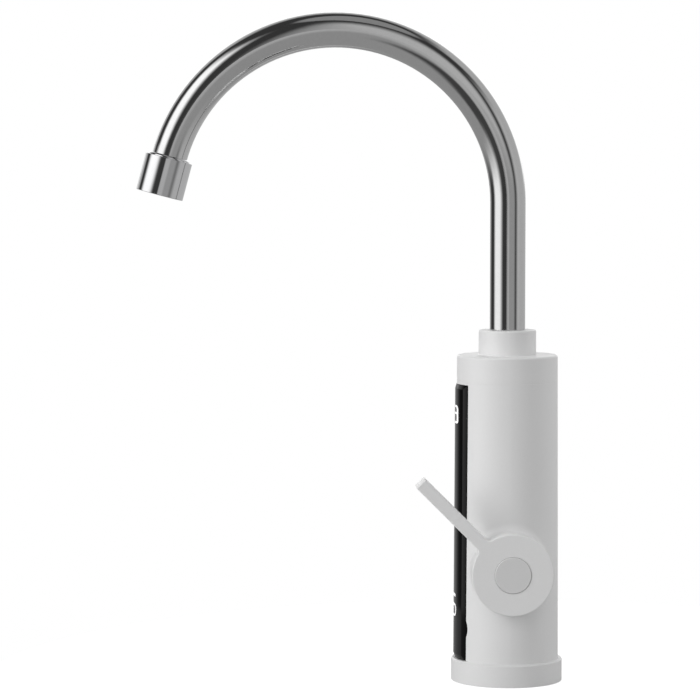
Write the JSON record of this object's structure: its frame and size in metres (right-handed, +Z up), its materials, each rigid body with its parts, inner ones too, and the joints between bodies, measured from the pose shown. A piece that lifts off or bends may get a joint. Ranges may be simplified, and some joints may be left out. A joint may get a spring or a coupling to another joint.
{
  "type": "electric instant water heater tap",
  "caption": "White electric instant water heater tap with a swivelling steel gooseneck spout, a side lever on a ceramic valve, and a black front panel with a number display.",
  "frame": {"origin": "centre of the inlet thread in the plane of the deck", "axes": "+Z up along the body axis; -Y towards the user, where the spout and the panel point; +X to the side with the lever"},
  "size_m": [0.0779, 0.2406, 0.3778],
  "materials": {
    "white_abs": "gloss",
    "panel_black": "high gloss",
    "cap_grey": "satin",
    "polished_steel": "polished",
    "chrome": "bright chrome",
    "aerator_plastic": "satin",
    "brass": "machined",
    "steel": "plain",
    "tank_steel": "deep drawn",
    "rubber": "matte",
    "ceramic": "lapped ceramic",
    "nylon_black": "matte",
    "nylon_white": "matte",
    "switch_case": "matte",
    "switch_red": "matte",
    "foam": "matte",
    "board": "satin",
    "display": "gloss",
    "lamp": "clear"
  },
  "bodies": {
    "body": {"base_ring": "white_abs", "base_screws": "steel", "board_screws": "steel", "boss_nut": "brass", "cable_gland": "nylon_black", "cartridge_body": "nylon_white", "cartridge_ring": "rubber", "casing": "white_abs", "cover_screws": "steel", "deck_gasket": "rubber", "diaphragm": "rubber", "display_board": "board", "display_module": "display", "fixed_disc": "ceramic", "front_panel": "panel_black", "gland_nut": "nylon_black", "glide_ring": "nylon_white", "heater_tank": "tank_steel", "heating_element": "tank_steel", "hot_riser": "tank_steel", "indicator_lamps": "lamp", "inlet_filter": "nylon_white", "inlet_nut": "nylon_white", "inlet_ring": "rubber", "inlet_socket": "brass", "microswitch": "switch_case", "outlet_socket": "brass", "panel_tape": "foam", "pin_spring": "steel", "seat_seal": "rubber", "splash_ring": "rubber", "spout_clip": "steel", "spout_nut": "brass", "switch_cover": "nylon_white", "tank_lid": "nylon_black", "tank_screws": "steel", "tank_seal": "rubber", "temperature_sensor": "tank_steel", "terminal_block": "nylon_white", "thermal_cutout": "nylon_black", "top_cap": "white_abs", "valve_block": "nylon_black"},
    "spout": {"spout_tube": "polished_steel", "spout_tail": "brass", "spout_rings": "rubber", "nozzle": "chrome", "aerator": "aerator_plastic", "aerator_gasket": "rubber"},
    "lever": {"handle": "white_abs", "handle_cap": "cap_grey", "handle_screw": "steel", "stem": "brass", "stem_rings": "rubber", "turning_disc": "ceramic"},
    "flow_pin": {"switch_pin": "nylon_white"},
    "switch_button": {"switch_button": "switch_red"}
  },
  "joints": [
    {"name": "spout_swivel", "type": "hinge", "parent": "body", "child": "spout", "pos_m": [0, 0, 0.185], "axis": [0, 0, 1], "continuous": true},
    {"name": "lever_turn", "type": "hinge", "parent": "body", "child": "lever", "pos_m": [0.036, 0, 0.0655], "axis": [1, 0, 0], "range_deg": [-90, 90]},
    {"name": "flow_pin_slide", "type": "slide", "parent": "body", "child": "flow_pin", "axis": [0, 0, 1], "range_m": [0, 0.0012], "stiffness_N_per_m": 300, "springref_m": -0.002, "deforming": ["pin_spring"]},
    {"name": "switch_button_slide", "type": "slide", "parent": "body", "child": "switch_button", "axis": [0, 0, 1], "range_m": [0, 0.0012]}
  ],
  "couplings": [
    {"joint": "switch_button_slide", "follows": "flow_pin_slide", "ratio": 1}
  ]
}
